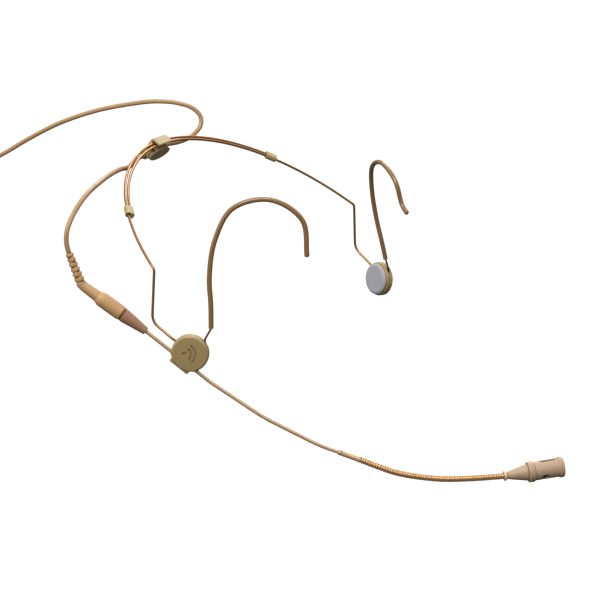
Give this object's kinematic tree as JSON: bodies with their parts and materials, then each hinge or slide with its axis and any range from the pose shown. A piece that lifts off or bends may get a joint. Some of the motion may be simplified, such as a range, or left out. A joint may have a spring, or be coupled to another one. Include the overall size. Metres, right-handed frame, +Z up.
{
  "type": "headset microphone",
  "caption": "Slim beige neckband with clamping temple discs, wire ear hooks and a bent boom that ends in a gooseneck and small slotted microphone; a thin cord leaves it behind the neck.",
  "frame": {"origin": "midway between the inner faces of the two temple pads, inside the wearer's head", "axes": "+Z up, -Y towards the wearer's face, +X towards the wearer's left; the boom is on -X, the wearer's right"},
  "size_m": [0.1693, 0.2981, 0.1225],
  "materials": {
    "boom_metal": "copper-beige enamel on thin steel tube, satin",
    "brass": "turned brass, plain",
    "capsule_metal": "plain steel can, brushed",
    "clip_plastic": "olive-beige moulded plastic, matt",
    "connector_plastic": "beige moulded plastic, satin",
    "cord_jacket": "thin beige cable jacket, matt",
    "dark_plastic": "dark moulded plastic, matt",
    "disc_plastic": "olive-beige moulded plastic with a fine matt grain",
    "gooseneck_metal": "copper-beige enamel on closely wound wire, satin",
    "hook_sleeve": "translucent tan tubing, soft gloss",
    "hook_wire": "drawn steel wire with a copper-gold coating, satin",
    "jack_metal": "nickel plated, polished",
    "mic_collar": "cream enamel, satin",
    "mic_mesh": "fine metal mesh, dark beige",
    "mic_plastic": "beige moulded plastic, fine matt grain",
    "neckband_wire": "drawn steel wire with a copper-gold coating, satin",
    "plug_boot": "pinkish beige soft plastic, matt",
    "seam_ring": "orange-brown sealing ring, matt",
    "slider_plastic": "cream moulded plastic, satin",
    "temple_pad": "grey soft rubber, matt",
    "tie_strap": "woven hook-and-loop strap, dark"
  },
  "bodies": {
    "right_half": {"neckband_wire_right": "neckband_wire", "slider_left": "slider_plastic", "temple_pad_right": "temple_pad", "disc_base_right": "disc_plastic", "disc_cap_right": "disc_plastic", "hook_bush_right": "brass", "cord_lead": "cord_jacket"},
    "left_half": {"neckband_wire_left": "neckband_wire", "slider_right": "slider_plastic", "temple_pad_left": "temple_pad", "disc_base_left": "disc_plastic", "disc_cap_left": "disc_plastic", "hook_bush_left": "brass"},
    "ear_hook_right": {"ear_hook_wire_right": "hook_wire", "ear_hook_sleeve_right": "hook_sleeve"},
    "ear_hook_left": {"ear_hook_wire_left": "hook_wire", "ear_hook_sleeve_left": "hook_sleeve"},
    "cable_clip": {"cable_clip_hook": "slider_plastic", "cable_clip_plate": "clip_plastic", "cord_tail": "cord_jacket", "cord_coil": "cord_jacket", "coil_tie": "tie_strap", "cord_stub": "cord_jacket", "jack_strain_relief": "dark_plastic", "jack_barrel": "jack_metal", "jack_sleeve_contact": "jack_metal", "jack_ring_insulator": "dark_plastic", "jack_ring_contact": "jack_metal", "jack_tip_insulator": "dark_plastic", "jack_tip": "jack_metal"},
    "jack_ring": {"jack_lock_ring": "jack_metal"},
    "boom_clamp": {"boom_clamp_sleeve": "dark_plastic"},
    "boom": {"boom_tube": "boom_metal", "boom_signal_lead": "dark_plastic", "boom_ferrule": "boom_metal", "gooseneck_segment_1": "gooseneck_metal", "plug_boot": "plug_boot", "plug_seam_ring": "seam_ring", "plug_insulator": "dark_plastic", "plug_pin_1": "brass", "plug_pin_2": "brass", "plug_pin_3": "brass", "cable_connector_shell": "connector_plastic", "socket_insulator": "dark_plastic", "cable_strain_relief": "connector_plastic"},
    "gooseneck_2": {"gooseneck_segment_2": "gooseneck_metal"},
    "gooseneck_3": {"gooseneck_segment_3": "gooseneck_metal"},
    "gooseneck_4": {"gooseneck_segment_4": "gooseneck_metal"},
    "gooseneck_5": {"gooseneck_segment_5": "gooseneck_metal", "mic_collar": "mic_collar", "mic_boot": "mic_plastic", "mic_capsule_seat": "mic_plastic", "mic_basket": "mic_plastic", "mic_capsule": "capsule_metal", "mic_capsule_seal": "dark_plastic", "mic_front_mesh": "mic_mesh"}
  },
  "joints": [
    {"name": "neckband_size", "type": "hinge", "parent": "right_half", "child": "left_half", "pos_m": [0, -0.00875, 0.01286], "axis": [0, -0.6157, 0.788], "range_deg": [-6, 6]},
    {"name": "ear_hook_swivel_right", "type": "hinge", "parent": "right_half", "child": "ear_hook_right", "pos_m": [-0.07045, -0.00584, -0.00019], "axis": [-0.0642, -0.0273, 0.9976], "range_deg": [-25, 25]},
    {"name": "ear_hook_swivel_left", "type": "hinge", "parent": "left_half", "child": "ear_hook_left", "pos_m": [0.07045, -0.00584, -0.00019], "axis": [0.0642, -0.0273, 0.9976], "range_deg": [-25, 25]},
    {"name": "cable_clip_slide", "type": "hinge", "parent": "right_half", "child": "cable_clip", "pos_m": [0, -0.00875, 0.01286], "axis": [0, -0.6157, 0.788], "range_deg": [-8, 8], "deforming": ["cord_lead"]},
    {"name": "boom_roll", "type": "hinge", "parent": "right_half", "child": "boom_clamp", "pos_m": [-0.07326, 0.00135, -0.00329], "axis": [0.3444, -0.6993, -0.6264], "range_deg": [-30, 30], "deforming": ["cord_lead"]},
    {"name": "boom_reach", "type": "slide", "parent": "boom_clamp", "child": "boom", "axis": [0.3444, -0.6993, -0.6264], "range_m": [-0.002, 0.008], "deforming": ["cord_lead"]},
    {"name": "gooseneck_swing_1", "type": "hinge", "parent": "boom", "child": "gooseneck_2", "pos_m": [-0.03927, -0.06266, -0.04285], "axis": [0.1988, -0.2888, 0.9365], "range_deg": [-12, 12]},
    {"name": "gooseneck_lift_1", "type": "hinge", "parent": "gooseneck_2", "child": "gooseneck_3", "pos_m": [-0.03346, -0.07101, -0.04546], "axis": [-0.8178, -0.5755, 0], "range_deg": [-12, 12]},
    {"name": "gooseneck_swing_2", "type": "hinge", "parent": "gooseneck_3", "child": "gooseneck_4", "pos_m": [-0.02737, -0.07947, -0.04676], "axis": [0.0359, -0.0479, 0.9982], "range_deg": [-12, 12]},
    {"name": "gooseneck_lift_2", "type": "hinge", "parent": "gooseneck_4", "child": "gooseneck_5", "pos_m": [-0.021, -0.08784, -0.04689], "axis": [-0.7915, -0.6112, 0], "range_deg": [-12, 12]},
    {"name": "jack_ring_spin", "type": "hinge", "parent": "cable_clip", "child": "jack_ring", "pos_m": [0.0128, 0.1785, 0.0147], "axis": [0, 0, -1], "continuous": true}
  ],
  "couplings": [
    {"joint": "gooseneck_swing_2", "follows": "gooseneck_swing_1", "ratio": 1},
    {"joint": "gooseneck_lift_2", "follows": "gooseneck_lift_1", "ratio": 1}
  ]
}
